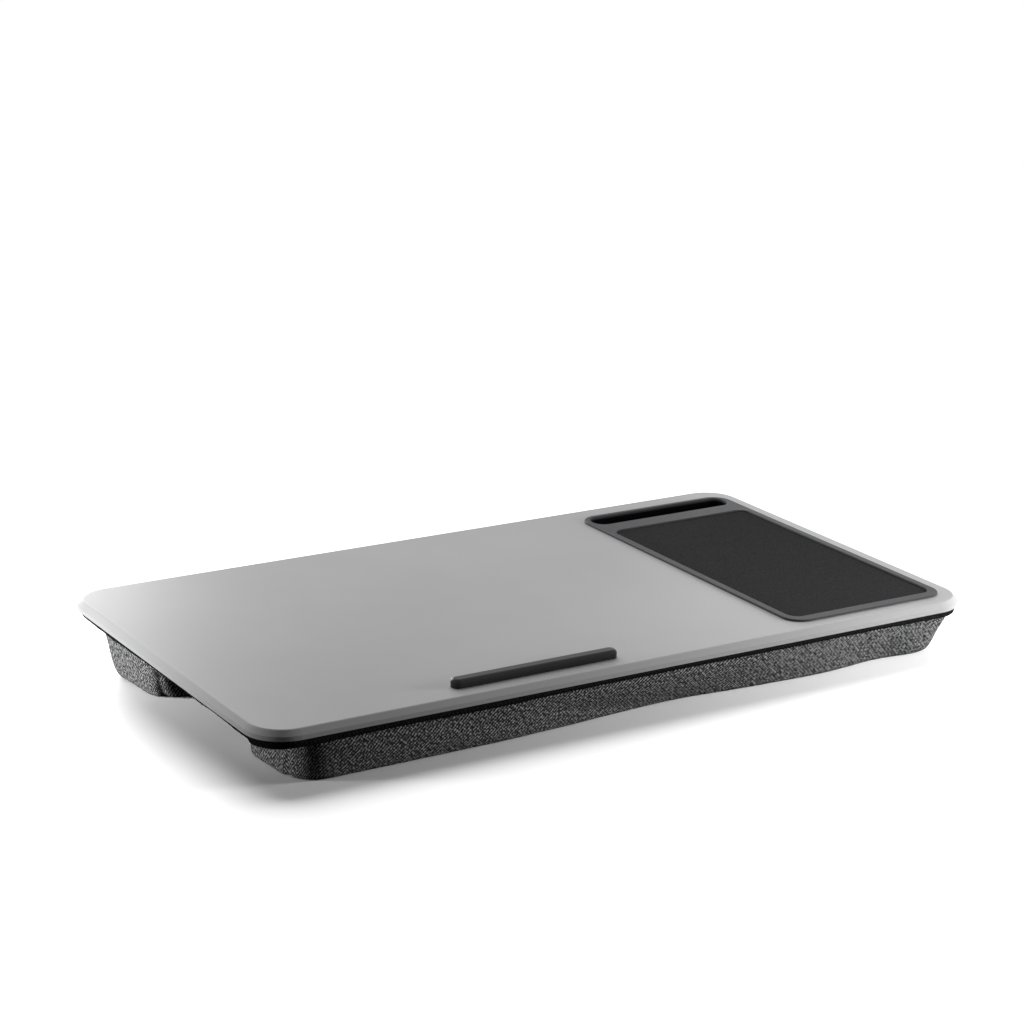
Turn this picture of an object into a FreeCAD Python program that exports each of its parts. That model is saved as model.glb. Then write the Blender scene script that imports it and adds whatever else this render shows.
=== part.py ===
import FreeCAD, Part
import math
import os
from FreeCAD import Placement, Rotation, Vector

# Lap tray on two bolsters. Lengths are in millimetres, +Z is up, +X runs along the board to the
# right and +Y to the rear. The origin lies on the floor under the middle of the tray. The rigid
# pieces are drawn flat, with the board's top face at height zero, and are tilted into place last.

# Whole tray
board_width = 536.0
board_depth = 305.0
board_corner_radius = 26.0
board_top_height = 48.0
tilt_degrees = 3.5

# Board: a wood-fibre core in a film that wraps the top face and the eased edge
panel_thickness = 6.5
film_thickness = 0.5
edge_bevel_reach = 3.2
edge_bevel_drop = 3.6
edge_round = 1.6

# Base under the board: hardboard in black cloth
base_inset = 2.0
base_board_thickness = 3.3
base_cloth_thickness = 1.2
base_edge_round = 3.0

# Insert: a moulding with a raised rim, a pad recess, a bridge and a device slot
insert_width = 128.0
insert_right_margin = 13.0
insert_front_margin = 13.5
insert_rear_margin = 21.5
insert_corner_radius = 14.0
rim_height = 1.5
rim_side_width = 5.5
rim_front_width = 8.5
rim_rear_width = 3.5
rim_bevel = 0.5
rim_gap_depth = 1.2
rim_gap_height = 0.6
flange_overlap = 2.0
moulding_wall = 1.5
mouth_bevel = 0.5
bridge_depth = 16.0
slot_mouth_depth = 20.0
slot_floor_depth = 14.0
slot_end_margin = 5.0
slot_corner_radius = 8.5
slot_floor_corner_radius = 6.0
slot_floor_thickness = 1.5
rib_thickness = 1.6
cross_rib_count = 4
long_rib_count = 2
boss_radius = 4.0
boss_inset = 14.0
insert_clearance = 0.3

# Mouse pad in the recess
pad_corner_radius = 8.0
pad_sink = 1.0
pad_cloth_thickness = 0.5
pad_foam_thickness = 2.0
pad_clearance = 0.3

# Ledge near the front edge
ledge_length = 120.0
ledge_depth = 9.5
ledge_height = 5.6
ledge_end_radius = 4.5
ledge_top_round = 2.4
ledge_left_margin = 138.0
ledge_front_margin = 14.5
ledge_screw_inset = 24.0
ledge_screw_bite = 3.6

# Countersunk screws, driven from under the base board
screw_radius = 1.6
screw_head_radius = 3.2
screw_head_height = 1.7
screw_clearance = 0.15
boss_bite_share = 0.7

# Bolsters: stuffed covers sewn to the base cloth, each with a flat foot
front_bolster_depth = 108.0
front_bolster_inset = 10.0
rear_bolster_depth = 96.0
rear_bolster_inset = 6.0
bolster_end_inset = 18.0
bolster_corner_radius = 15.0
bolster_taper = 12.0
bolster_bow = 5.0
cover_thickness = 1.0
fill_clearance = 0.3
foot_flat_depth = 0.5
bolster_steps = 5

# How far a cutting tool runs past the face that it opens
overrun = 2.0
# Edges within this distance of a plane count as lying in it
plane_tolerance = 0.001

# Heights of the stack, from the board's top face down
base_top = -panel_thickness
base_board_bottom = base_top - base_board_thickness
stack_bottom = base_board_bottom - base_cloth_thickness
pad_top = rim_height - pad_sink
pad_foam_top = pad_top - pad_cloth_thickness
pad_floor = pad_foam_top - pad_foam_thickness
tray_floor_bottom = pad_floor - moulding_wall
slot_floor = base_board_bottom + slot_floor_thickness

# Plan of the board, from its own centre
board_right = board_width / 2
board_left = -board_right
board_rear = board_depth / 2
board_front = -board_rear

# Plan of the insert
insert_x1 = board_right - insert_right_margin
insert_x0 = insert_x1 - insert_width
insert_y0 = board_front + insert_front_margin
insert_y1 = board_rear - insert_rear_margin
pad_x0 = insert_x0 + rim_side_width
pad_x1 = insert_x1 - rim_side_width
pad_y0 = insert_y0 + rim_front_width
slot_y1 = insert_y1 - rim_rear_width
slot_y0 = slot_y1 - slot_mouth_depth
pad_y1 = slot_y0 - bridge_depth
slot_x0 = insert_x0 + slot_end_margin
slot_x1 = insert_x1 - slot_end_margin


def rounded_wire(x0, x1, y0, y1, radius, z, bow=0.0):
    """A rounded rectangle at height z. The two long sides are drawn in by bow at their middle."""
    corner = radius * (1 - math.sqrt(0.5))
    mid_x = (x0 + x1) / 2

    def side(a, b, middle):
        if bow:
            return Part.Arc(a, middle, b).toShape()
        return Part.LineSegment(a, b).toShape()

    def arc(a, middle, b):
        return Part.Arc(a, middle, b).toShape()

    front_a = Vector(x0 + radius, y0, z)
    front_b = Vector(x1 - radius, y0, z)
    right_a = Vector(x1, y0 + radius, z)
    right_b = Vector(x1, y1 - radius, z)
    rear_a = Vector(x1 - radius, y1, z)
    rear_b = Vector(x0 + radius, y1, z)
    left_a = Vector(x0, y1 - radius, z)
    left_b = Vector(x0, y0 + radius, z)
    return Part.Wire([
        side(front_a, front_b, Vector(mid_x, y0 + bow, z)),
        arc(front_b, Vector(x1 - corner, y0 + corner, z), right_a),
        Part.LineSegment(right_a, right_b).toShape(),
        arc(right_b, Vector(x1 - corner, y1 - corner, z), rear_a),
        side(rear_a, rear_b, Vector(mid_x, y1 - bow, z)),
        arc(rear_b, Vector(x0 + corner, y1 - corner, z), left_a),
        Part.LineSegment(left_a, left_b).toShape(),
        arc(left_b, Vector(x0 + corner, y0 + corner, z), front_a),
    ])


def plate(x0, x1, y0, y1, radius, bottom, top):
    """A flat plate with rounded corners between two heights."""
    face = Part.Face(rounded_wire(x0, x1, y0, y1, radius, bottom))
    return face.extrude(Vector(0, 0, top - bottom))


def board_plate(inset, bottom, top):
    """A plate with the board's outline, drawn in all round by inset."""
    return plate(board_left + inset, board_right - inset, board_front + inset, board_rear - inset,
                 board_corner_radius - inset, bottom, top)


def box(x0, x1, y0, y1, bottom, top):
    """A plain block between two corners."""
    return Part.makeBox(x1 - x0, y1 - y0, top - bottom, Vector(x0, y0, bottom))


def edges_in_plane(shape, z):
    """The edges of a shape that lie at height z."""
    return [edge for edge in shape.Edges
            if abs(edge.BoundBox.ZMin - z) < plane_tolerance
            and abs(edge.BoundBox.ZMax - z) < plane_tolerance]


def upright_cylinder(radius, x, y, bottom, top):
    """A cylinder about a vertical axis."""
    return Part.makeCylinder(radius, top - bottom, Vector(x, y, bottom))


def screw(x, y, length):
    """A countersunk screw with its head flush with the base board's underside, pointing up."""
    profile = Part.makePolygon([
        Vector(0, 0, 0),
        Vector(screw_head_radius, 0, 0),
        Vector(screw_radius, 0, screw_head_height),
        Vector(screw_radius, 0, length),
        Vector(0, 0, length),
        Vector(0, 0, 0),
    ])
    body = Part.Face(profile).revolve(Vector(0, 0, 0), Vector(0, 0, 1), 360)
    body.translate(Vector(x, y, base_board_bottom))
    return body


def screw_hole(x, y, top):
    """The countersunk hole for a screw, from under the base board up to a height."""
    shank = upright_cylinder(screw_radius + screw_clearance, x, y, base_board_bottom, top)
    sink = Part.makeCone(screw_head_radius + screw_clearance, screw_radius + screw_clearance,
                         screw_head_height, Vector(x, y, base_board_bottom))
    return shank.fuse(sink)


# Places of the screws, in plan
tray_screw_places = [(x, y) for x in (pad_x0 + boss_inset, pad_x1 - boss_inset)
                     for y in (pad_y0 + boss_inset, pad_y1 - boss_inset)]
ledge_x0 = board_left + ledge_left_margin
ledge_x1 = ledge_x0 + ledge_length
ledge_y0 = board_front + ledge_front_margin
ledge_y1 = ledge_y0 + ledge_depth
ledge_screw_y = (ledge_y0 + ledge_y1) / 2
ledge_screw_places = [(ledge_x0 + ledge_screw_inset, ledge_screw_y),
                      (ledge_x1 - ledge_screw_inset, ledge_screw_y)]
boss_screw_top = base_top + (tray_floor_bottom - base_top + moulding_wall) * boss_bite_share
ledge_screw_top = ledge_screw_bite


def insert_skirt(inset, bottom, top):
    """The outline of the insert's skirt, drawn in by inset."""
    reach = flange_overlap + inset
    return plate(insert_x0 + reach, insert_x1 - reach, insert_y0 + reach, insert_y1 - reach,
                 insert_corner_radius - reach, bottom, top)


def make_panel(inset):
    """The board's body with its top edge bevelled and eased, drawn in by the film's thickness or not."""
    body = board_plate(inset, base_top, -inset)
    body = body.makeChamfer(edge_bevel_drop, edge_bevel_reach, edges_in_plane(body, -inset))
    return body.makeFillet(edge_round, edges_in_plane(body, -inset))


def make_board():
    """The core and the film around it, both opened for the insert and the ledge's screws."""
    core_body = make_panel(film_thickness)
    film = make_panel(0).cut(core_body)
    opening = insert_skirt(-insert_clearance, base_top - overrun, rim_height + overrun)
    ledge_holes = [screw_hole(x, y, overrun) for x, y in ledge_screw_places]
    return core_body.cut([opening] + ledge_holes), film.cut([opening] + ledge_holes)


def pocket_plate(margin, bottom, top):
    """The walls of the slot's pocket, with a margin around the slot's mouth."""
    return plate(slot_x0 - margin, slot_x1 + margin, slot_y0 - margin, slot_y1 + margin,
                 slot_corner_radius + margin, bottom, top)


def make_base():
    """The hardboard base and the cloth that wraps its edge and its underside."""
    cloth_body = board_plate(base_inset, stack_bottom, base_top)
    cloth_body = cloth_body.makeFillet(base_edge_round, edges_in_plane(cloth_body, stack_bottom))
    board_inset = base_inset + base_cloth_thickness
    board_body = board_plate(board_inset, base_board_bottom, base_top)
    inner_round = base_edge_round - base_cloth_thickness
    board_body = board_body.makeChamfer(inner_round, edges_in_plane(board_body, base_board_bottom))
    cloth = cloth_body.cut(board_body)
    pocket_opening = pocket_plate(moulding_wall + insert_clearance, stack_bottom, base_top + overrun)
    places = tray_screw_places + ledge_screw_places
    holes = [screw_hole(x, y, base_top + overrun) for x, y in places]
    return board_body.cut([pocket_opening] + holes), cloth


def make_ribs():
    """The grid of ribs under the pad's floor, standing on the base board."""
    x0 = pad_x0
    x1 = pad_x1
    ribs = []
    for index in range(long_rib_count):
        x = x0 + (x1 - x0) * (index + 1) / (long_rib_count + 1) - rib_thickness / 2
        ribs.append(box(x, x + rib_thickness, pad_y0, pad_y1, base_top, tray_floor_bottom))
    for index in range(cross_rib_count):
        y = pad_y0 + (pad_y1 - pad_y0) * (index + 1) / (cross_rib_count + 1) - rib_thickness / 2
        ribs.append(box(x0, x1, y, y + rib_thickness, base_top, tray_floor_bottom))
    return ribs


def mouth_wires(x0, x1, y0, y1, radius):
    """Two outlines of a mouth in the rim: under its bevel and at the rim's top face."""
    return [rounded_wire(x0 - grow, x1 + grow, y0 - grow, y1 + grow, radius + grow,
                         rim_height - mouth_bevel + grow) for grow in (0, mouth_bevel)]


def make_recess():
    """The space of the pad's recess, with a bevelled mouth."""
    floor_wire = rounded_wire(pad_x0, pad_x1, pad_y0, pad_y1, pad_corner_radius, pad_floor)
    mouth = mouth_wires(pad_x0, pad_x1, pad_y0, pad_y1, pad_corner_radius)
    return Part.makeLoft([floor_wire] + mouth, True, True)


def make_flange():
    """The raised rim of the insert: it stands on the board on a drawn-in foot, which leaves a shadow gap."""
    def outline(inset, z):
        return rounded_wire(insert_x0 + inset, insert_x1 - inset, insert_y0 + inset, insert_y1 - inset,
                            insert_corner_radius - inset, z)

    foot = Part.makeLoft([outline(rim_gap_depth, 0), outline(rim_gap_depth, rim_gap_height)], True, True)
    wires = [outline(0, rim_gap_height), outline(0, rim_height - rim_bevel), outline(rim_bevel, rim_height)]
    return Part.makeLoft(wires, True, True).fuse(foot)


def make_slot():
    """The space of the slot: its front wall is upright and its rear wall leans back to the mouth."""
    floor_end = (slot_mouth_depth - slot_floor_depth) / 2
    floor_wire = rounded_wire(slot_x0 + floor_end, slot_x1 - floor_end, slot_y0,
                              slot_y0 + slot_floor_depth, slot_floor_corner_radius, slot_floor)
    mouth = mouth_wires(slot_x0, slot_x1, slot_y0, slot_y1, slot_corner_radius)
    return Part.makeLoft([floor_wire] + mouth, True, True)


def make_insert():
    """The moulding: flange, skirt, ribs, bosses, pad recess, bridge and slot pocket."""
    skirt = insert_skirt(0, base_top, 0)
    wall = flange_overlap + moulding_wall
    hollow_x0 = insert_x0 + wall
    hollow_x1 = insert_x1 - wall
    hollow_y0 = insert_y0 + wall
    hollow_y1 = insert_y1 - wall
    under_pad = box(hollow_x0, hollow_x1, hollow_y0, pad_y1, base_top - overrun, tray_floor_bottom)
    under_bridge = box(hollow_x0, hollow_x1, pad_y1 + moulding_wall, hollow_y1,
                       base_top - overrun, rim_height - moulding_wall)
    skirt = skirt.cut([under_pad, under_bridge])
    pocket = pocket_plate(moulding_wall, base_board_bottom, 0)
    bosses = [upright_cylinder(boss_radius, x, y, base_top, tray_floor_bottom)
              for x, y in tray_screw_places]
    boss_holes = [screw_hole(x, y, boss_screw_top + screw_clearance) for x, y in tray_screw_places]
    tray = make_flange().fuse([skirt, pocket] + make_ribs() + bosses)
    return tray.cut([make_recess(), make_slot()] + boss_holes).removeSplitter()


def make_pad():
    """The foam rubber of the mouse pad and the cloth on it."""
    outline = (pad_x0 + pad_clearance, pad_x1 - pad_clearance, pad_y0 + pad_clearance,
               pad_y1 - pad_clearance, pad_corner_radius - pad_clearance)
    return plate(*outline, pad_floor, pad_foam_top), plate(*outline, pad_foam_top, pad_top)


def make_ledge():
    """The bar that stops a device from sliding off, with a rounded top and rounded ends."""
    bar = plate(ledge_x0, ledge_x1, ledge_y0, ledge_y1, ledge_end_radius, 0, ledge_height)
    bar = bar.makeFillet(ledge_top_round, edges_in_plane(bar, ledge_height))
    return bar.cut([screw_hole(x, y, ledge_screw_top + screw_clearance) for x, y in ledge_screw_places])


# The tilt of the board, and the line where the plane of its seams would meet the floor
tilt = math.radians(tilt_degrees)
edge_lean = (panel_thickness + edge_bevel_drop) * math.sin(tilt)
centre_shift = -edge_lean / 2
seam_height = board_top_height + stack_bottom / math.cos(tilt)
hinge_y = centre_shift - seam_height / math.tan(tilt)
seam_shift = (centre_shift - hinge_y) / math.cos(tilt) - stack_bottom * math.tan(tilt)


def bolster_section(y0, y1, inset, height_share, draw_share):
    """A bolster's outline, drawn in, and turned about the hinge line to a share of the way up to the seam."""
    drawn = inset + bolster_taper * draw_share
    end = board_right - bolster_end_inset - drawn
    wire = rounded_wire(-end, end, y0 + drawn + seam_shift, y1 - drawn + seam_shift,
                        bolster_corner_radius, 0, bolster_bow * draw_share)
    wire.rotate(Vector(0, 0, 0), Vector(1, 0, 0), math.degrees(math.atan(height_share * math.tan(tilt))))
    wire.translate(Vector(0, hinge_y, 0))
    return wire


def bolster_body(y0, y1, inset, floor, past_seam):
    """A stuffed form between the floor and the seam. Its side is a quarter of an ellipse: upright
    at the seam, and drawn in by the taper at the flat foot."""
    middle_height = ((y0 + y1) / 2 + seam_shift) * math.tan(tilt)
    foot_share = -foot_flat_depth / middle_height
    sections = []
    for step in range(bolster_steps + 1):
        angle = math.pi / 2 * step / bolster_steps
        height_share = 1 - (1 - foot_share) * math.cos(angle)
        draw_share = 1 - math.sin(angle)
        sections.append(bolster_section(y0, y1, inset, height_share, draw_share))
    if past_seam:
        sections.append(bolster_section(y0, y1, inset, 1 + overrun / middle_height, 0))
    body = Part.makeLoft(sections, True, True)
    below = box(board_left, board_right, board_front - board_depth, board_rear + board_depth,
                floor - board_top_height, floor)
    return body.cut(below)


def make_bolster(y0, y1):
    """The sewn cover of a bolster, open at the seam, and the stuffing inside it."""
    outside = bolster_body(y0, y1, 0, 0, False)
    inside = bolster_body(y0, y1, cover_thickness, cover_thickness, True)
    fill_inset = cover_thickness + fill_clearance
    return outside.cut(inside), bolster_body(y0, y1, fill_inset, fill_inset, False)


def make_screws(places, top):
    """A group of equal screws that reach up to a height."""
    return Part.makeCompound([screw(x, y, top - base_board_bottom) for x, y in places])


board_core, board_film = make_board()
base_board, base_cloth = make_base()
mouse_pad_foam, mouse_pad_cloth = make_pad()
flat_nodes = {
    "board_core": board_core,
    "board_film": board_film,
    "base_board": base_board,
    "base_cloth": base_cloth,
    "insert_tray": make_insert(),
    "mouse_pad_foam": mouse_pad_foam,
    "mouse_pad_cloth": mouse_pad_cloth,
    "device_ledge": make_ledge(),
    "tray_screws": make_screws(tray_screw_places, boss_screw_top),
    "ledge_screws": make_screws(ledge_screw_places, ledge_screw_top),
}
seat = Placement(Vector(0, centre_shift, board_top_height), Rotation(Vector(1, 0, 0), tilt_degrees))
nodes = dict(flat_nodes)
for shape in nodes.values():
    shape.Placement = seat.multiply(shape.Placement)

front_y0 = board_front + front_bolster_inset
rear_y1 = board_rear - rear_bolster_inset
nodes["front_bolster_cover"], nodes["front_bolster_fill"] = make_bolster(
    front_y0, front_y0 + front_bolster_depth)
nodes["rear_bolster_cover"], nodes["rear_bolster_fill"] = make_bolster(
    rear_y1 - rear_bolster_depth, rear_y1)

os.makedirs("parts", exist_ok=True)
for name, shape in nodes.items():
    shape.exportStep(f"parts/{name}.step")
    size = shape.optimalBoundingBox()
    print(f"{name}: {len(shape.Solids)} solids, valid {shape.isValid()}, {shape.Volume / 1000:.1f} cm3, "
          f"z {size.ZMin:.2f} to {size.ZMax:.2f}")
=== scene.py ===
# %% [markdown]
# # Dressing a lap tray with cushion
# The tray is a flat board on two stuffed bolsters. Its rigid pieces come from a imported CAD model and
# keep their shapes here. This lesson adds what CAD leaves plain: sewn and stuffed cloth, weave, grain,
# soft light and a camera. Everything is in metres, in the CAD model's own frame: +X to the right,
# +Y to the rear, +Z up, with the origin on the floor under the middle of the tray.

# %% Load the frame
import math

import bpy
import numpy as np
from mathutils import Matrix, Quaternion, Vector, noise


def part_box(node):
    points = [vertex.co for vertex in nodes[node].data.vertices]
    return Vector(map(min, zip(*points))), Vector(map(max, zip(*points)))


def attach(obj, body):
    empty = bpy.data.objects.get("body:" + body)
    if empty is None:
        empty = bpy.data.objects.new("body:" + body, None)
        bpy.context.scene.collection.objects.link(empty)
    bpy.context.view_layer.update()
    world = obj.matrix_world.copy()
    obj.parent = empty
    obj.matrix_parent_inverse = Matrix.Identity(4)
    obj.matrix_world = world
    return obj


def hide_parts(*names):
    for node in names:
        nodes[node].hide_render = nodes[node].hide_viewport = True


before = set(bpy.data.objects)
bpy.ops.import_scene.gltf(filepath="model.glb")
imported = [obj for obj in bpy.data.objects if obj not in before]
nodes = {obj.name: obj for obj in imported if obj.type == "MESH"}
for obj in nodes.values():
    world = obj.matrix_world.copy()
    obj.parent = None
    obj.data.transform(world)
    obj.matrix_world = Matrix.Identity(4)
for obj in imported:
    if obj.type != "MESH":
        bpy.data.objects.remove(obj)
scene = bpy.context.scene
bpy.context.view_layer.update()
print("CAD nodes:", ", ".join(sorted(nodes)))

# %% [markdown]
# ## The board's own frame
# The board leans towards the user, so its pieces are easier to think of lying flat. `seat` is the
# placement that tilts flat coordinates into the model, with the board's top face at height zero, and
# `flat_box` reads a CAD node's corners back in that flat frame.

# %% The seat of the board
tilt = math.radians(3.5)
board_top_height = 0.048
centre_shift = -0.00031
seat = Matrix.Translation((0, centre_shift, board_top_height)) @ Matrix.Rotation(tilt, 4, "X")


def flat_box(node):
    """Lowest and highest corner of a CAD node with the tilt taken out."""
    unseat = seat.inverted()
    points = np.array([unseat @ v.co for v in nodes[node].data.vertices])
    return Vector(points.min(0)), Vector(points.max(0))


film_low, film_high = flat_box("board_film")
print("board, flat, in mm:", [round(1000 * v, 1) for v in film_high - film_low])

# %% [markdown]
# ## Camera
# The camera stands in front of the tray's left half, a little above it, with a long lens. Its place was
# worked out from the straight edges of the board and the insert, so no shift is needed: a position, a
# point that it looks at, and a slight roll, as a hand-held or levelled-by-eye camera has.

# %% Place the camera
camera_position = Vector((-0.9126, -1.5391, 0.5424))
camera_target = Vector((0.1170, 0.2084, 0.0480))
camera_roll = math.radians(-1.13)
lens_mm = 96.06
sensor_mm = 36

camera_data = bpy.data.cameras.new("camera")
camera_data.lens = lens_mm
camera_data.sensor_width = sensor_mm
camera = bpy.data.objects.new("camera", camera_data)
scene.collection.objects.link(camera)
aim = (camera_target - camera_position).to_track_quat("-Z", "Y")
camera.rotation_mode = "QUATERNION"
camera.rotation_quaternion = aim @ Quaternion((0, 0, 1), camera_roll)
camera.location = camera_position
scene.camera = camera
print("camera to target:", round((camera_target - camera_position).length, 3), "m")

# %% [markdown]
# ## Small helpers for shader nodes
# A procedural material is a graph. A few helpers keep its code short: `add_node` makes a node, sets its
# options and fills its inputs with a value or a link, and the next ones make the nodes that are used
# most. `new_group` starts a node group with named sockets, so that an effect is built once and used with
# other values in each material.

# %% Node helpers
def add_node(tree, kind, inputs=None, **settings):
    """A new node. Inputs are given by name or number, as a plain value or as a socket to link."""
    node = tree.nodes.new(kind)
    for key, value in settings.items():
        setattr(node, key, value)
    for key, value in (inputs or {}).items():
        if isinstance(value, bpy.types.NodeSocket):
            tree.links.new(value, node.inputs[key])
        else:
            node.inputs[key].default_value = value
    return node


def math_node(tree, operation, first, second=0.0):
    """A Math node's result."""
    return add_node(tree, "ShaderNodeMath", {0: first, 1: second}, operation=operation).outputs[0]


def dot_node(tree, vector, direction):
    """How far a vector reaches along a direction."""
    return add_node(tree, "ShaderNodeVectorMath", {0: vector, 1: direction},
                    operation="DOT_PRODUCT").outputs["Value"]


def scale_node(tree, vector, factor):
    """A vector or a colour times a factor."""
    return add_node(tree, "ShaderNodeVectorMath", {0: vector, "Scale": factor},
                    operation="SCALE").outputs[0]


def noise_node(tree, place, scale, **inputs):
    """A noise texture's value."""
    return add_node(tree, "ShaderNodeTexNoise",
                    {"Vector": place, "Scale": scale, **inputs}).outputs["Fac"]


def map_range(tree, value, low, high, start=0.0, end=1.0):
    """Low where the value is start, high where it is end, and even between."""
    return add_node(tree, "ShaderNodeMapRange", {"Value": value, "From Min": start, "From Max": end,
                                                 "To Min": low, "To Max": high}).outputs[0]


def ramp(tree, value, stops):
    """A colour ramp. Stops are pairs of position and grey or colour."""
    node = add_node(tree, "ShaderNodeValToRGB", {"Fac": value})
    elements = node.color_ramp.elements
    while len(elements) < len(stops):
        elements.new(0.5)
    for element, (position, colour) in zip(elements, stops):
        element.position = position
        element.color = (*colour, 1) if isinstance(colour, tuple) else (colour, colour, colour, 1)
    return node.outputs["Color"]


print("node helpers ready")


# %% Group and material helpers
def new_group(name, inputs, outputs):
    """A shader node group with float inputs, a vector input named Place, and float outputs."""
    tree = bpy.data.node_groups.new(name, "ShaderNodeTree")
    tree.interface.new_socket("Place", in_out="INPUT", socket_type="NodeSocketVector")
    for key, value in inputs.items():
        socket = tree.interface.new_socket(key, in_out="INPUT", socket_type="NodeSocketFloat")
        socket.default_value = value
    for key in outputs:
        tree.interface.new_socket(key, in_out="OUTPUT", socket_type="NodeSocketFloat")
    return tree, tree.nodes.new("NodeGroupInput").outputs, tree.nodes.new("NodeGroupOutput").inputs


def use_group(tree, group, place, **values):
    """Places a group in a material and returns its outputs."""
    node = add_node(tree, "ShaderNodeGroup", node_tree=group)
    tree.links.new(place, node.inputs["Place"])
    for key, value in values.items():
        node.inputs[key.replace("_", " ")].default_value = value
    return node.outputs


def new_material(name, roughness, **constants):
    """A material, its node tree and its Principled shader."""
    material = bpy.data.materials.new(name)
    material.use_nodes = True
    tree = material.node_tree
    shader = tree.nodes["Principled BSDF"]
    shader.inputs["Roughness"].default_value = roughness
    for key, value in constants.items():
        shader.inputs[key.replace("_", " ")].default_value = value
    return material, tree, shader


def object_place(tree):
    """The object coordinates that a material's textures follow."""
    return tree.nodes.new("ShaderNodeTexCoord").outputs["Object"]


def bump(tree, shader, height, distance, strength=1.0):
    """Drives the shader's normal from a height, with the relief's depth in metres."""
    node = add_node(tree, "ShaderNodeBump",
                    {"Height": height, "Distance": distance, "Strength": strength})
    tree.links.new(node.outputs["Normal"], shader.inputs["Normal"])


print("group and material helpers ready")

# %% [markdown]
# ## Grain and weaves
# Three node groups are enough for this tray. `fine_grain` is the tiny relief of moulded plastic, foil
# and steel, with a slow change of tone, as from handling. `plain_weave` is the over-and-under of a flat
# black cloth. `diagonal_twill` is the slanting rib of the cover fabric. It reads flat coordinates of the
# cut panels, so the rib runs straight across each panel and breaks at the corner seams, as sewn cloth
# does.

# %% Group: fine grain
def make_fine_grain():
    tree, given, result = new_group(
        "fine_grain", {"Grain per metre": 3000.0, "Cloud per metre": 9.0}, ["Height", "Tone"])
    place = given["Place"]
    grain = noise_node(tree, place, given["Grain per metre"], Detail=2.0, Roughness=0.6)
    cloud = noise_node(tree, place, given["Cloud per metre"], Detail=3.0, Roughness=0.55)
    tree.links.new(grain, result["Height"])
    tree.links.new(cloud, result["Tone"])
    return tree


fine_grain = make_fine_grain()
print("group", fine_grain.name)


# %% Group: plain weave
weave_relief = 0.3
cloth_flecks_per_metre = 900.0


def make_plain_weave():
    tree, given, result = new_group("plain_weave", {"Threads per metre": 1400.0}, ["Height", "Tone"])
    place = given["Place"]
    turns = math_node(tree, "MULTIPLY", given["Threads per metre"], math.pi)
    parts = add_node(tree, "ShaderNodeSeparateXYZ", {0: scale_node(tree, place, turns)}).outputs
    waves = [math_node(tree, "SINE", part) for part in parts]
    flat = math_node(tree, "MULTIPLY", waves[0], waves[1])
    upright = math_node(tree, "MULTIPLY", waves[2], math_node(tree, "ADD", waves[0], waves[1]))
    both = math_node(tree, "ADD", flat, upright)
    tree.links.new(math_node(tree, "MULTIPLY_ADD", both, weave_relief), result["Height"])
    tree.links.new(noise_node(tree, place, cloth_flecks_per_metre, Detail=2.0), result["Tone"])
    return tree


plain_weave = make_plain_weave()
print("group", plain_weave.name)


# %% Group: diagonal twill
slant = 0.707
drift_per_metre = 150.0
drift_in_ribs = 0.3
threads_per_metre = 540.0
rib_relief = 0.35
thread_relief = 0.18
mid_height = 0.5
flecks_across_yarn = 880.0
flecks_along_yarn = 480.0


def make_diagonal_twill():
    tree, given, result = new_group("diagonal_twill", {"Ribs per metre": 500.0}, ["Height", "Fleck"])
    place = given["Place"]
    rib_line = dot_node(tree, place, (slant, -slant, 0.0))
    cross_line = dot_node(tree, place, (slant, slant, 0.0))

    def times(value, factor):
        return math_node(tree, "MULTIPLY", value, factor)

    drift = times(noise_node(tree, place, drift_per_metre, Detail=2.0), drift_in_ribs)
    drifted = math_node(tree, "ADD", times(rib_line, given["Ribs per metre"]), drift)
    rib = math_node(tree, "SINE", times(drifted, math.tau))
    thread = math_node(tree, "SINE", times(cross_line, threads_per_metre * math.tau))
    height = math_node(tree, "ADD", times(rib, rib_relief), times(thread, thread_relief))
    tree.links.new(math_node(tree, "ADD", height, mid_height), result["Height"])
    yarn = add_node(tree, "ShaderNodeCombineXYZ", {0: times(rib_line, flecks_across_yarn),
                                                   1: times(cross_line, flecks_along_yarn)})
    fleck = noise_node(tree, yarn.outputs[0], 1.0, Detail=1.0, Roughness=0.5)
    tree.links.new(fleck, result["Fleck"])
    return tree


diagonal_twill = make_diagonal_twill()
print("group", diagonal_twill.name)

# %% [markdown]
# ## Finishes of the rigid pieces
# The board is wrapped in a matte light grey foil, the insert is a dark moulding with a fine spark-eroded
# grain, and the ledge is a smoother satin black. Inside the slot and in a thin line at the rim's foot the
# insert gets painted shade: its colour and gloss fall almost to black below the rim. The core and the
# base board hardly show, but they get their wood-fibre look too, because the part is seen from every
# side.

# %% Grey film
def make_grey_film():
    material, tree, shader = new_material("grey_film", 0.42, Specular_IOR_Level=0.03)
    grain = use_group(tree, fine_grain, object_place(tree), Grain_per_metre=2600.0, Cloud_per_metre=7.0)
    tone = ramp(tree, grain["Tone"], [(0.3, (0.232, 0.232, 0.234)), (0.7, (0.252, 0.252, 0.253))])
    tree.links.new(tone, shader.inputs["Base Color"])
    tree.links.new(map_range(tree, grain["Tone"], 0.38, 0.46), shader.inputs["Roughness"])
    bump(tree, shader, grain["Height"], 0.00004, 0.6)
    return material


grey_film = make_grey_film()
print("material", grey_film.name)


# %% Moulded plastics
# Painted shade: the insert's colour and gloss fall almost to black with depth below its rim, so the
# slot's inside and a thin line at the rim's foot are painted dark.
painted_slot_shade = 0.06
painted_shade_starts = 0.0010
painted_shade_ends = -0.0008


def painted_depth_shade(tree, place):
    """Painted shade: one on the moulding's rim, falling to the slot shade just below the board's top
    face.
    """
    upward = seat.to_3x3() @ Vector((0, 0, 1))
    top_level = upward.dot(seat.translation)
    return map_range(tree, dot_node(tree, place, tuple(upward)), painted_slot_shade, 1.0,
                     top_level + painted_shade_ends, top_level + painted_shade_starts)


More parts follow.
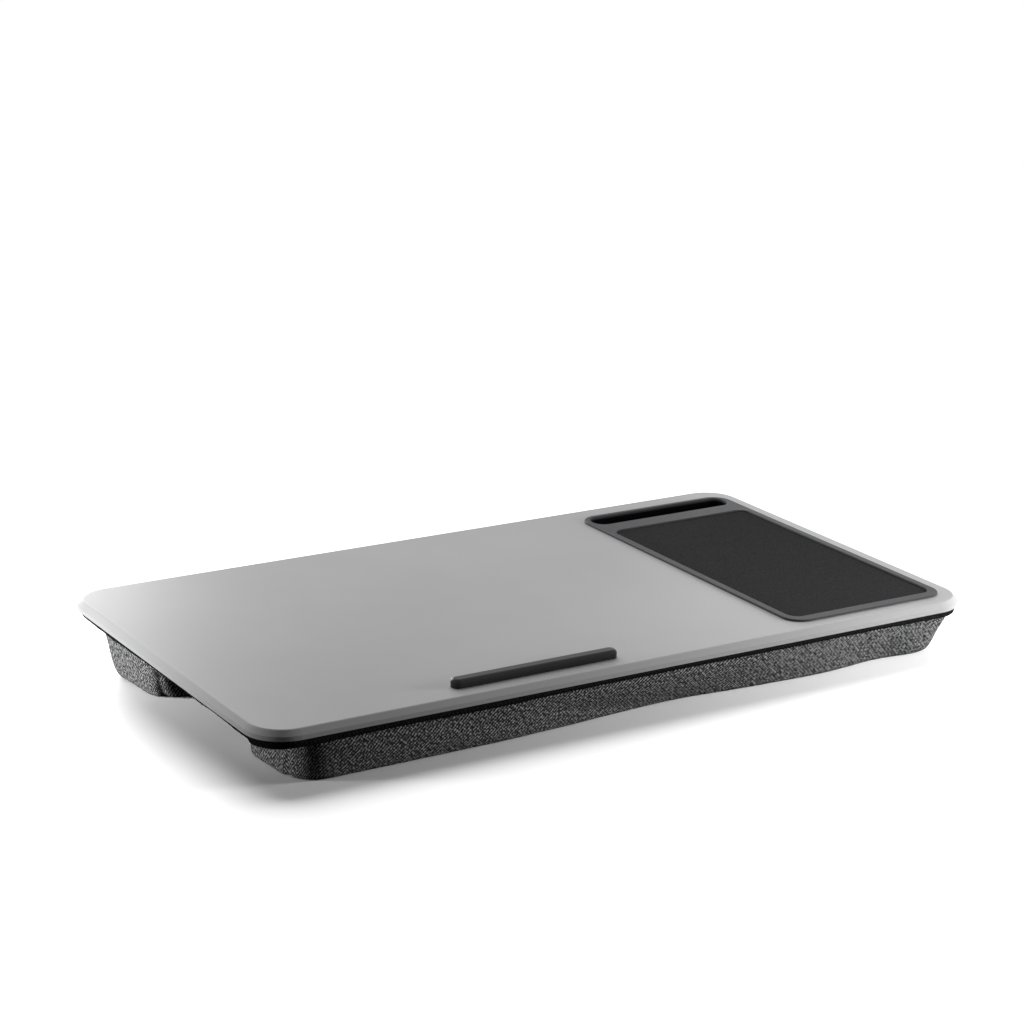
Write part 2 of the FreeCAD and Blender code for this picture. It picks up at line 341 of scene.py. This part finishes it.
def make_plastic(name, dark, light, grain_per_metre, relief, roughness, gloss, with_painted_shade=False):
    material, tree, shader = new_material(name, roughness[0], Specular_IOR_Level=gloss)
    place = object_place(tree)
    grain = use_group(tree, fine_grain, place, Grain_per_metre=grain_per_metre, Cloud_per_metre=14.0)
    colour = ramp(tree, grain["Tone"], [(0.3, dark), (0.7, light)])
    # Painted shade: colour and gloss are scaled down with depth below the rim, darkening the slot and the
    # rim's foot.
    if with_painted_shade:
        painted_shade_factor = painted_depth_shade(tree, place)
        colour = scale_node(tree, colour, painted_shade_factor)
        painted_shade_gloss = math_node(tree, "MULTIPLY", painted_shade_factor, gloss)
        tree.links.new(painted_shade_gloss, shader.inputs["Specular IOR Level"])
    tree.links.new(colour, shader.inputs["Base Color"])
    tree.links.new(map_range(tree, grain["Tone"], *roughness), shader.inputs["Roughness"])
    bump(tree, shader, grain["Height"], relief, 0.7)
    return material


dark_plastic = make_plastic(
    "dark_plastic", dark=(0.036, 0.036, 0.038), light=(0.046, 0.046, 0.048), grain_per_metre=2400.0,
    relief=0.00008, roughness=(0.50, 0.60), gloss=0.04, with_painted_shade=True)
black_plastic = make_plastic(
    "black_plastic", dark=(0.010, 0.010, 0.0105), light=(0.015, 0.015, 0.0155), grain_per_metre=1800.0,
    relief=0.00003, roughness=(0.44, 0.54), gloss=0.18)
print("materials", dark_plastic.name, black_plastic.name)


# %% Fibre boards and screws
def make_fibre_board(name, dark, light):
    material, tree, shader = new_material(name, 0.85)
    fibres = noise_node(tree, object_place(tree), 700.0, Detail=6.0, Roughness=0.7, Distortion=1.5)
    colour = ramp(tree, fibres, [(0.35, dark), (0.65, light)])
    tree.links.new(colour, shader.inputs["Base Color"])
    bump(tree, shader, fibres, 0.0002)
    return material


def make_screw_steel():
    material, tree, shader = new_material("screw_steel", 0.35, Metallic=1.0)
    grain = use_group(tree, fine_grain, object_place(tree), Grain_per_metre=5000.0, Cloud_per_metre=300.0)
    colour = ramp(tree, grain["Tone"], [(0.3, (0.48, 0.47, 0.45)), (0.7, (0.62, 0.61, 0.59))])
    tree.links.new(colour, shader.inputs["Base Color"])
    bump(tree, shader, grain["Height"], 0.00003)
    return material


fibre_core = make_fibre_board("fibre_core", (0.40, 0.29, 0.19), (0.58, 0.45, 0.32))
hardboard = make_fibre_board("hardboard", (0.20, 0.13, 0.08), (0.34, 0.23, 0.15))
screw_steel = make_screw_steel()
print("materials", fibre_core.name, hardboard.name, screw_steel.name)


# %% Put the finishes on the CAD nodes
def dress(node, material):
    """Gives a CAD node its finish."""
    slots = nodes[node].data.materials
    slots.clear()
    slots.append(material)


for node, material in {"board_film": grey_film, "board_core": fibre_core, "base_board": hardboard,
                       "insert_tray": dark_plastic, "device_ledge": black_plastic,
                       "tray_screws": screw_steel, "ledge_screws": screw_steel}.items():
    dress(node, material)
print("dressed the rigid nodes")

# %% [markdown]
# ## Cloth finishes
# The bolsters wear a grey melange: dark yarn with paler fibres spun in, woven in a fine twill. Light
# flecks matter more than the rib at arm's length, so most of the colour comes from stretched noise that
# runs along the yarn, and the rib adds the rest. The pad and the base wear plain black cloths.

# %% Grey melange
fleck_share = 0.75


def make_melange():
    material, tree, shader = new_material("grey_melange", 0.95, Sheen_Weight=0.02, Sheen_Roughness=0.5,
                                          Specular_IOR_Level=0.0)
    panel = add_node(tree, "ShaderNodeUVMap", uv_map="panels").outputs["UV"]
    twill = use_group(tree, diagonal_twill, panel, Ribs_per_metre=500.0)
    mixed = math_node(tree, "ADD", math_node(tree, "MULTIPLY", twill["Fleck"], fleck_share),
                      math_node(tree, "MULTIPLY", twill["Height"], 1 - fleck_share))
    colour = ramp(tree, mixed, [(0.36, (0.010, 0.010, 0.0104)), (0.47, (0.030, 0.030, 0.0305)),
                                (0.55, (0.088, 0.088, 0.0885)), (0.66, (0.30, 0.30, 0.298))])
    tree.links.new(colour, shader.inputs["Base Color"])
    bump(tree, shader, mixed, 0.00020, 0.6)
    return material


grey_melange = make_melange()
print("material", grey_melange.name)


# %% Black cloths and the stuffing
def make_black_cloth(name, dark, light, threads, relief):
    material, tree, shader = new_material(name, 0.95, Specular_IOR_Level=0.0)
    weave = use_group(tree, plain_weave, object_place(tree), Threads_per_metre=threads)
    colour = ramp(tree, weave["Tone"], [(0.35, dark), (0.65, light)])
    tree.links.new(colour, shader.inputs["Base Color"])
    bump(tree, shader, weave["Height"], relief)
    return material


def make_stuffing():
    material, tree, shader = new_material("fibre_fill", 0.95, Sheen_Weight=0.4)
    wisps = noise_node(tree, object_place(tree), 260.0, Detail=6.0, Distortion=2.5)
    tree.links.new(ramp(tree, wisps, [(0.3, 0.70), (0.7, 0.88)]), shader.inputs["Base Color"])
    bump(tree, shader, wisps, 0.002)
    return material


base_black = make_black_cloth("base_black", dark=(0.004, 0.004, 0.0042), light=(0.012, 0.012, 0.0125),
                              threads=700.0, relief=0.0003)
pad_black = make_black_cloth("pad_black", dark=(0.018, 0.018, 0.0184), light=(0.027, 0.027, 0.0274),
                             threads=1300.0, relief=0.00012)
foam_black = make_black_cloth("foam_black", dark=(0.010, 0.010, 0.010), light=(0.018, 0.018, 0.018),
                              threads=350.0, relief=0.0004)
fibre_fill = make_stuffing()
print("materials", base_black.name, pad_black.name, foam_black.name, fibre_fill.name)

# %% [markdown]
# ## Outlines and rings
# The board, the base and the pad all have the outline of a rounded rectangle. `outline` walks round one
# at an even spacing, and `ring_form` stacks such rings into a closed mesh with a cap at each end. Each
# ring has an inset and a height, so a small list of pairs is the profile of an edge.

# %% Rings
def outline(low, high, radius, spacing):
    """Points round a rounded rectangle, anticlockwise, each with its outward direction."""
    centres = [(high.x - radius, high.y - radius, 0), (low.x + radius, high.y - radius, 1),
               (low.x + radius, low.y + radius, 2), (high.x - radius, low.y + radius, 3)]
    corner_steps = max(3, round(radius * math.pi / 2 / spacing))
    points = []
    for index, (x, y, quarter) in enumerate(centres):
        for step in range(corner_steps + 1):
            angle = math.pi / 2 * (quarter + step / corner_steps)
            out = Vector((math.cos(angle), math.sin(angle)))
            points.append((Vector((x, y)) + out * radius, out))
        following = centres[(index + 1) % 4]
        start = points[-1][0]
        angle = math.pi / 2 * following[2]
        end = Vector(following[:2]) + Vector((math.cos(angle), math.sin(angle))) * radius
        steps = max(1, round((end - start).length / spacing))
        points += [(start.lerp(end, step / steps), points[-1][1]) for step in range(1, steps)]
    return points


def new_piece(name, vertices, faces, material, slot, replaced):
    """A mesh object that rides on the tray's one body and stands for the CAD nodes that it replaces."""
    mesh = bpy.data.meshes.new(name)
    mesh.from_pydata(vertices, [], faces)
    mesh.validate()
    mesh.shade_smooth()
    mesh.materials.append(material)
    piece = bpy.data.objects.new(name, mesh)
    scene.collection.objects.link(piece)
    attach(piece, "root")
    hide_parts(*replaced)
    return piece


def ring_form(path, profile, wave=None):
    """Vertices and faces of stacked rings. A profile row is an inset and a height, and wave, given a
    point of the path and a row number, may add to both."""
    count = len(path)
    vertices = []
    for row, (inset, height) in enumerate(profile):
        for point, out in path:
            more_inset, more_height = wave(point, row) if wave else (0, 0)
            place = point - out * (inset + more_inset)
            vertices.append(seat @ Vector((place.x, place.y, height + more_height)))
    faces = [list(range(count))[::-1]]
    for row in range(len(profile) - 1):
        first, second = row * count, (row + 1) * count
        for k in range(count):
            after = (k + 1) % count
            faces.append([first + k, first + after, second + after, second + k])
    faces.append([(len(profile) - 1) * count + k for k in range(count)])
    return vertices, faces


print("ring helpers ready")

# %% [markdown]
# ## Mouse pad
# The pad is a thin foam rubber sheet with a fine cloth bonded on top, cut out with a knife, so its edge
# is only slightly rounded where the cloth is pressed down. It lies in the insert's recess. Two pieces are
# enough: the foam, and the cloth with its eased edge.

# %% Pad pieces
pad_corner = 0.0077
pad_spacing = 0.003
cloth_ease = 0.0006
foam_ease = 0.0002
cloth_low, cloth_high = flat_box("mouse_pad_cloth")
foam_low, foam_high = flat_box("mouse_pad_foam")
pad_path = outline(cloth_low, cloth_high, pad_corner, pad_spacing)
cloth_thickness = cloth_high.z - cloth_low.z
cloth_profile = [(0.0, cloth_low.z), (0.0, cloth_low.z + cloth_thickness * 0.35),
                 (cloth_ease * 0.3, cloth_low.z + cloth_thickness * 0.8), (cloth_ease, cloth_high.z),
                 (cloth_ease * 6, cloth_high.z)]
foam_profile = [(foam_ease, foam_low.z), (0.0, foam_low.z + 0.0003), (0.0, foam_high.z - 0.0001),
                (foam_ease, foam_high.z)]
new_piece("pad_cloth", *ring_form(pad_path, cloth_profile), pad_black, "pad_cloth",
          ["mouse_pad_cloth"])
pad_foam = new_piece("pad_foam", *ring_form(pad_path, foam_profile), foam_black, "foam_rubber",
                     ["mouse_pad_foam"])
print("pad:", [round(1000 * v, 1) for v in cloth_high - cloth_low], "mm")

# %% [markdown]
# ## Base cloth
# A black cloth is pulled round the edge of the base board and glued under it. From the side it is the
# dark band between the grey foil and the bolsters. Hand-pulled cloth is never quite even: its lower edge
# swells and dips, so the profile's lower rows wander a little, by smooth noise along the edge.

# %% How the base cloth wanders
base_low, base_high = flat_box("base_cloth")
base_corner = 0.024
row_swell = (0.2, 0.7, 1.0, 0.9, 0.55, 0.15, 0.0)
slow_wave, slow_per_metre, slow_seed = 0.0008, 14, 3.7
quick_wave, quick_per_metre, quick_seed = 0.0003, 60, 8.1
front_sag = 0.0014
least_sag = 0.25
sag_reach = 0.35
front_bulge = 0.3
side_sag = 0.5


def cloth_wave(point, row):
    """How far the cloth stands out and sags at a point of the edge. Along the front it sags most at the
    left."""
    slow = noise.noise(Vector((point.x * slow_per_metre, point.y * slow_per_metre, slow_seed)))
    quick = noise.noise(Vector((point.x * quick_per_metre, point.y * quick_per_metre, quick_seed)))
    amount = row_swell[row] * (slow_wave * slow + quick_wave * quick)
    if point.y < base_low.y + base_corner:
        left_share = min(1.0, max(least_sag, 0.5 - point.x / sag_reach))
        amount += row_swell[row] * front_sag * left_share
        return -front_bulge * amount, -amount
    return -amount, -side_sag * amount


print("rows of the base cloth:", len(row_swell))

# %% Base cloth piece
base_spacing = 0.004
base_path = outline(base_low, base_high, base_corner, base_spacing)
base_profile = [(0.0060, base_low.z), (0.0020, base_low.z), (0.0005, base_low.z + 0.0008),
                (-0.0001, base_low.z + 0.0022), (0.0, base_high.z - 0.0010),
                (0.0008, base_high.z - 0.0002), (0.0030, base_high.z - 0.0001)]
band_vertices, band_faces = ring_form(base_path, base_profile, cloth_wave)
new_piece("base_wrap", band_vertices, band_faces, base_black, "black_cloth", ["base_cloth"])
print("base cloth:", len(band_vertices), "points round the edge")

# %% [markdown]
# ## Bolsters
# Each bolster is a sewn cover of grey melange stuffed with loose fibre. The recipe is the maker's own:
# cut panels, sew them, stuff them. The covers end at the underside of the base cloth, which slopes, so
# its height at each depth of the tray comes first.

# %% Seam plane under the base
seam_slope = math.tan(tilt)
seam_point = seat @ Vector((0, 0, base_low.z))
seam_overlap = 0.0003


def seam_height(y):
    """Height of the base cloth's underside over the floor."""
    return seam_point.z + (y - seam_point.y) * seam_slope


front_and_rear = [round(1000 * seam_height(y), 1) for y in (-0.14, 0.14)]
print("seam height front and rear, mm:", front_and_rear)

# %% [markdown]
# ## Cut the panels
# The panels are a grid on a box, pulled to a rounded outline that is drawn in towards the floor and
# tucked in under the base. Each cover has its own cut. `draw` is how far a side comes in at the floor,
# and `more` moves a whole side out. `corner` is the radius of each corner at the seam. A tuck is a dent
# in the front foot, with a place, a width and a depth. `seed` picks the wave of the edge, and `turn` is
# the number of columns by which the front panel reaches round the left corner.

# %% Panels of a cover
def grid_box(counts):
    """Grid numbers of the points on a box, the four-sided faces between them, and for each face the
    panel that it lies on, that panel's two grid axes and the face's corners on them."""
    numbers = {}
    faces = []
    panels = []

    def number(key):
        return numbers.setdefault(key, len(numbers))

    for axis in range(3):
        first, second = [a for a in range(3) if a != axis]
        for end in (0, counts[axis]):
            for i in range(counts[first]):
                for j in range(counts[second]):
                    corners = []
                    marks = []
                    for di, dj in ((0, 0), (1, 0), (1, 1), (0, 1)):
                        key = [0, 0, 0]
                        key[axis], key[first], key[second] = end, i + di, j + dj
                        corners.append(number(tuple(key)))
                        marks.append((i + di, j + dj))
                    outward = (end > 0) != (axis == 1)
                    faces.append(corners if outward else corners[::-1])
                    panels.append((axis, end, first, second, marks if outward else marks[::-1]))
    return numbers, faces, panels


def round_corner(value, other, half, other_half, radius):
    """Moves a point of a rectangle onto the rounded rectangle of the same size."""
    inner = max(-half + radius, min(half - radius, value))
    other_inner = max(-other_half + radius, min(other_half - radius, other))
    off, other_off = value - inner, other - other_inner
    length = math.hypot(off, other_off)
    if length == 0:
        return value, other
    scale = max(abs(off), abs(other_off)) / length
    return inner + off * scale, other_inner + other_off * scale


print("panel helpers ready")

# %% Shape of a cover before it is stuffed
cover_spacing = 0.0045
cover_rows = 9
foot_corner = 0.024
foot_power = 2.6
seam_tuck = 0.0010
tuck_starts = 0.75
start_small = 0.0030
side_bow = 0.001
wave_depth = 0.0010
waves_per_metre = 18
edge_power = 8


def row_share(row):
    """How high a row of the grid lies, from nought on the floor to one at the base."""
    return 1 - math.cos(math.pi / 2 * row / cover_rows)


def cover_point(across, along, share, middle, half_x, half_y, cut):
    """A point of a cover. Across and along run from minus one to one over the box, share goes up it."""
    side = "left" if across < 0 else "right"
    end = "front" if along < 0 else "rear"
    turned = 1 - (1 - (1 - share) ** foot_power) ** (1 / foot_power)
    tuck = (seam_tuck * max(0.0, (share - tuck_starts) / (1 - tuck_starts)) ** 2
            + start_small * math.sin(math.pi * share))
    seam_corner = cut["corner"][side][end]
    radius = seam_corner + max(0.0, foot_corner - seam_corner) * (1 - share) ** 2
    x, y = round_corner(across * half_x, along * half_y, half_x, half_y, radius)
    x *= 1 - (cut["draw"][side] * turned + tuck) / half_x
    y *= 1 - (cut["draw"][end] * turned + tuck) / half_y
    y *= 1 - side_bow / half_y * (1 - across ** 2) * (1 - share)
    x += across * cut["more"][side]
    y += along * cut["more"][end]
    place = Vector((x + middle.x, y + middle.y, 0))
    edge = max(abs(across), abs(along)) ** edge_power
    spot = Vector((place.x * waves_per_metre, place.y * waves_per_metre, cut["seed"]))
    wave = noise.noise(spot) * wave_depth * edge
    place.y += wave * along
    for tuck_x, tuck_width, tuck_depth in cut["tucks"]:
        pull = tuck_depth * math.exp(-((place.x - tuck_x) / tuck_width) ** 2) * (1 - share)
        place.y += pull * max(0.0, -along)
    place.z = share * (seam_height(place.y) + seam_overlap)
    return place


print("rows of a cover:", cover_rows)


# %% A cover's mesh, its cloth laid flat and its seams
def flat_cloth(panels, counts, height, turn):
    """The faces' corners on the flat cloth. Columns of the left end that belong to the front panel are
    mirrored, as the front panel's cloth lies there."""
    rulers = [[i * cover_spacing for i in range(counts[0] + 1)],
              [j * cover_spacing for j in range(counts[1] + 1)],
              [height * row_share(k) for k in range(cover_rows + 1)]]
    flat = []
    for axis, end, first, second, marks in panels:
        turned = axis == 0 and end == 0 and max(a for a, b in marks) <= turn
        sign = -1 if turned else 1
        flat += [(sign * rulers[first][a], rulers[second][b]) for a, b in marks]
    return flat


def cover_form(node, cut):
    """A cover's points, before it is stuffed, its faces, their corners on the flat cloth, its pinned
    points and its seams. The front panel reaches round the left corner by cut["turn"] columns."""
    low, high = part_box(node)
    middle = (low + high) / 2
    half_x, half_y = (high.x - low.x) / 2, (high.y - low.y) / 2
    counts = (round(2 * half_x / cover_spacing), round(2 * half_y / cover_spacing), cover_rows)
    numbers, faces, panels = grid_box(counts)
    points = [cover_point(2 * i / counts[0] - 1, 2 * j / counts[1] - 1, row_share(k), middle,
                          half_x, half_y, cut) for i, j, k in numbers]
    pinned = [index for key, index in numbers.items() if key[2] in (0, cover_rows)]
    seams = [(0, cut["turn"]), (0, counts[1]), (counts[0], 0), (counts[0], counts[1])]
    columns = [[numbers[(i, j, k)] for k in range(cover_rows + 1)] for i, j in seams]
    flat = flat_cloth(panels, counts, seam_height(middle.y), cut["turn"])
    return points, faces, flat, pinned, columns


print("cover helpers ready")

# %% How the two covers are cut
front_cut = {
    "draw": {"left": 0.004, "right": 0.009, "front": 0.007, "rear": 0.0085},
    "more": {"left": -0.0075, "right": 0.0085, "front": 0.005, "rear": 0.0},
    "corner": {"left": {"front": 0.020, "rear": 0.048}, "right": {"front": 0.009, "rear": 0.020}},
    "tucks": [(0.028, 0.075, 0.0085), (0.205, 0.030, 0.0045), (0.250, 0.300, 0.0060)],
    "seed": 1.3,
    "turn": 4,
}
rear_cut = {
    "draw": {"left": 0.0115, "right": 0.009, "front": 0.0085, "rear": 0.0085},
    "more": {"left": 0.001, "right": 0.0, "front": 0.0, "rear": 0.0},
    "corner": {"left": {"front": 0.009, "rear": 0.009}, "right": {"front": 0.009, "rear": 0.009}},
    "tucks": [(-0.06, 0.03, 0.003)],
    "seed": 5.9,
    "turn": 0,
}
print("tucks, front and rear:", len(front_cut["tucks"]), len(rear_cut["tucks"]))

# %% [markdown]
# ## Stuff the covers
# A cover starts a few millimetres small. Its top panel under the base and its bottom panel on the floor
# are pinned, and Blender's cloth solver blows it up with a gentle pressure. Corner seams are pressed in
# afterwards, because stuffing would round them away. A mesh of stuffing then fills the cover.

# %% Stuff a cover with the cloth solver
stuffing_pressure = 4.0
stuffing_frames = 20
most_swell = 0.008
cloth_settings = {
    "quality": 6, "mass": 0.25, "tension_stiffness": 18, "compression_stiffness": 18,
    "shear_stiffness": 8, "bending_stiffness": 0.6, "use_pressure": True,
    "uniform_pressure_force": stuffing_pressure, "vertex_group_mass": "sewn"}


def stuff(piece, pinned):
    """Blows a cover up, keeps the result in its mesh and returns the longest move."""
    group = piece.vertex_groups.new(name="sewn")
    group.add(pinned, 1.0, "REPLACE")
    cloth = piece.modifiers.new("stuffing", "CLOTH")
    for key, value in cloth_settings.items():
        setattr(cloth.settings, key, value)
    cloth.settings.effector_weights.gravity = 0
    cloth.collision_settings.use_collision = False
    cloth.point_cache.frame_start = 1
    cloth.point_cache.frame_end = stuffing_frames
    for number in range(1, stuffing_frames + 1):
        scene.frame_set(number)
    blown = piece.evaluated_get(bpy.context.evaluated_depsgraph_get()).data
    swollen = [v.co.copy() for v in blown.vertices]
    piece.modifiers.remove(cloth)
    piece.vertex_groups.clear()
    scene.frame_set(1)
    most = 0.0
    for vertex, target in zip(piece.data.vertices, swollen):
        move = target - vertex.co
        if move.length > most_swell:
            move *= most_swell / move.length
        most = max(most, move.length)
        vertex.co += move
    return most


def settle(piece):
    """Rests the cover flat on the floor and keeps it below the base."""
    for vertex in piece.data.vertices:
        highest = seam_height(vertex.co.y) + seam_overlap
        vertex.co.z = max(0.0, min(vertex.co.z, highest))


def subdivide_once(piece):
    """Applies one subdivision to the mesh."""
    piece.modifiers.new("finer", "SUBSURF").levels = 1
    evaluated = piece.evaluated_get(bpy.context.evaluated_depsgraph_get())
    finer = bpy.data.meshes.new_from_object(evaluated)
    piece.modifiers.clear()
    old = piece.data
    piece.data = finer
    bpy.data.meshes.remove(old)


print("solver ready, pressure", stuffing_pressure)

# %% Press the corner seams in
seam_groove_depth = 0.0015
seam_groove_width = 0.0026


def press_seams(piece, paths):
    """Pulls the cover in along its corner seams."""
    mesh = piece.data
    count = len(mesh.vertices)
    points = np.empty(count * 3)
    normals = np.empty(count * 3)
    mesh.vertices.foreach_get("co", points)
    mesh.vertices.foreach_get("normal", normals)
    points, normals = points.reshape(-1, 3), normals.reshape(-1, 3)
    nearest = np.full(count, np.inf)
    for path in paths:
        for a, b in zip(path, path[1:]):
            run = b - a
            share = np.clip((points - a) @ run / max(run @ run, 1e-12), 0, 1)
            away = np.linalg.norm(points - (a + share[:, None] * run), axis=1)
            nearest = np.minimum(nearest, away)
    depth = seam_groove_depth * np.exp(-(nearest / seam_groove_width) ** 2)
    points -= normals * depth[:, None]
    mesh.vertices.foreach_set("co", points.ravel())
    mesh.update()


print("seam groove in mm:", 1000 * seam_groove_depth)

# %% Both bolsters
cover_to_stuffing = 0.0030


def make_bolster(name, node, fill_node, cut):
    """A stuffed cover with pressed seams, and the stuffing inside it."""
    points, faces, flat, pinned, columns = cover_form(node, cut)
    cover = new_piece(name + "_cover", points, faces, grey_melange, "grey_melange", [node])
    cover.data.uv_layers.new(name="panels").data.foreach_set("uv", np.array(flat).ravel())
    swelled = 0.0
    swelled = stuff(cover, pinned)
    settle(cover)
    paths = [np.array([cover.data.vertices[i].co for i in column]) for column in columns]
    inner = [v.co - v.normal * cover_to_stuffing for v in cover.data.vertices]
    stuffing = new_piece(name + "_stuffing", inner, faces, fibre_fill, "fibre_fill", [fill_node])
    subdivide_once(cover)
    press_seams(cover, paths)
    settle(cover)
    print(name, "bolster:", len(cover.data.vertices), "points, swelled", round(1000 * swelled, 1),
          "mm at most")


make_bolster("front", "front_bolster_cover", "front_bolster_fill", front_cut)
make_bolster("rear", "rear_bolster_cover", "rear_bolster_fill", rear_cut)

# %% [markdown]
# ## Floor and light
# The tray stands on a plain pale floor that melts into a white background. The floor is nearly white to
# the camera and to reflections, so it washes out where no shadow falls and keeps the shadow where one
# does. To light that bounces off it, it is dark, so the cloth near the floor stays dark. The world is
# white in the same way, and gives little light. The light is soft: a wide sun high at the rear right,
# a low lamp at the left for the bolsters' ends, and one at the front right that brings out the weave of
# that end. These three are kept out of reflections, so they leave no glare in the foil. Two small panels
# behind the tray are there to be mirrored in it, so the board grows pale toward its rear left corner.

# %% Floor
floor_reach = 40.0
bounced_floor = 0.05
seen_floor = 0.98


def seen_rays(tree):
    """One for rays from the camera, a reflection or a glass, and nought for light that bounces."""
    rays = tree.nodes.new("ShaderNodeLightPath").outputs
    return math_node(tree, "MAXIMUM", rays["Is Camera Ray"], math_node(
        tree, "MAXIMUM", rays["Is Glossy Ray"], rays["Is Transmission Ray"]))


def make_floor():
    corners = [(-floor_reach, -floor_reach, 0), (floor_reach, -floor_reach, 0),
               (floor_reach, floor_reach, 0), (-floor_reach, floor_reach, 0)]
    mesh = bpy.data.meshes.new("floor")
    mesh.from_pydata(corners, [], [(0, 1, 2, 3)])
    floor = bpy.data.objects.new("floor", mesh)
    scene.collection.objects.link(floor)
    material, tree, shader = new_material("pale_floor", 0.9, Specular_IOR_Level=0.0)
    whiteness = map_range(tree, seen_rays(tree), bounced_floor, seen_floor)
    tree.links.new(whiteness, shader.inputs["Base Color"])
    mesh.materials.append(material)


make_floor()
print("floor ready")

# %% World
sky_light = 0.11
sky_seen = 1.0

world = bpy.data.worlds.new("pale_world")
scene.world = world
world.use_nodes = True
backdrop = world.node_tree.nodes["Background"]
backdrop.inputs["Color"].default_value = (1, 1, 1, 1)
sky = map_range(world.node_tree, seen_rays(world.node_tree), sky_light, sky_seen)
world.node_tree.links.new(sky, backdrop.inputs["Strength"])
print("world", world.name)

# %% Lamps
sun_strength = 3.9
sun_width = 62
sun_direction = Vector((-0.35, -0.85, -1))


def new_lamp(name, kind, direction):
    """A lamp that shines in a direction."""
    lamp = bpy.data.objects.new(name, bpy.data.lights.new(name, kind))
    scene.collection.objects.link(lamp)
    lamp.rotation_euler = direction.to_track_quat("-Z", "Y").to_euler()
    return lamp


def area_lamp(name, place, target, size, watts, spread=180):
    """A round lamp that the camera doesn't see. Its spread is in degrees."""
    lamp = new_lamp(name, "AREA", Vector(target) - Vector(place))
    lamp.location = place
    lamp.visible_camera = False
    lamp.data.shape = "DISK"
    lamp.data.size = size
    lamp.data.energy = watts
    lamp.data.spread = math.radians(spread)
    return lamp


overhead = new_lamp("overhead", "SUN", sun_direction)
overhead.data.energy = sun_strength
overhead.data.angle = math.radians(sun_width)
rear_panel = area_lamp("rear_panel", place=(0.0, 1.15, 0.33), target=(-0.2, 0.1, 0.05), size=0.4,
                       watts=12)
right_panel = area_lamp("right_panel", place=(1.04, 1.02, 0.35), target=(0.25, 0.05, 0.05), size=0.35,
                        watts=2)
left_lamp = area_lamp("left_lamp", place=(-0.92, 0.32, 0.12), target=(-0.25, 0.16, 0.03), size=0.22,
                      watts=1.6, spread=54)
right_lamp = area_lamp("right_lamp", place=(0.58, -0.45, 0.13), target=(0.16, -0.13, 0.03), size=0.22,
                       watts=2.1, spread=90)
for lamp in (overhead, left_lamp, right_lamp):
    lamp.visible_glossy = False
scene.view_settings.view_transform = "Standard"
lamps = (overhead, rear_panel, right_panel, left_lamp, right_lamp)
print("lamps:", ", ".join(lamp.name for lamp in lamps))
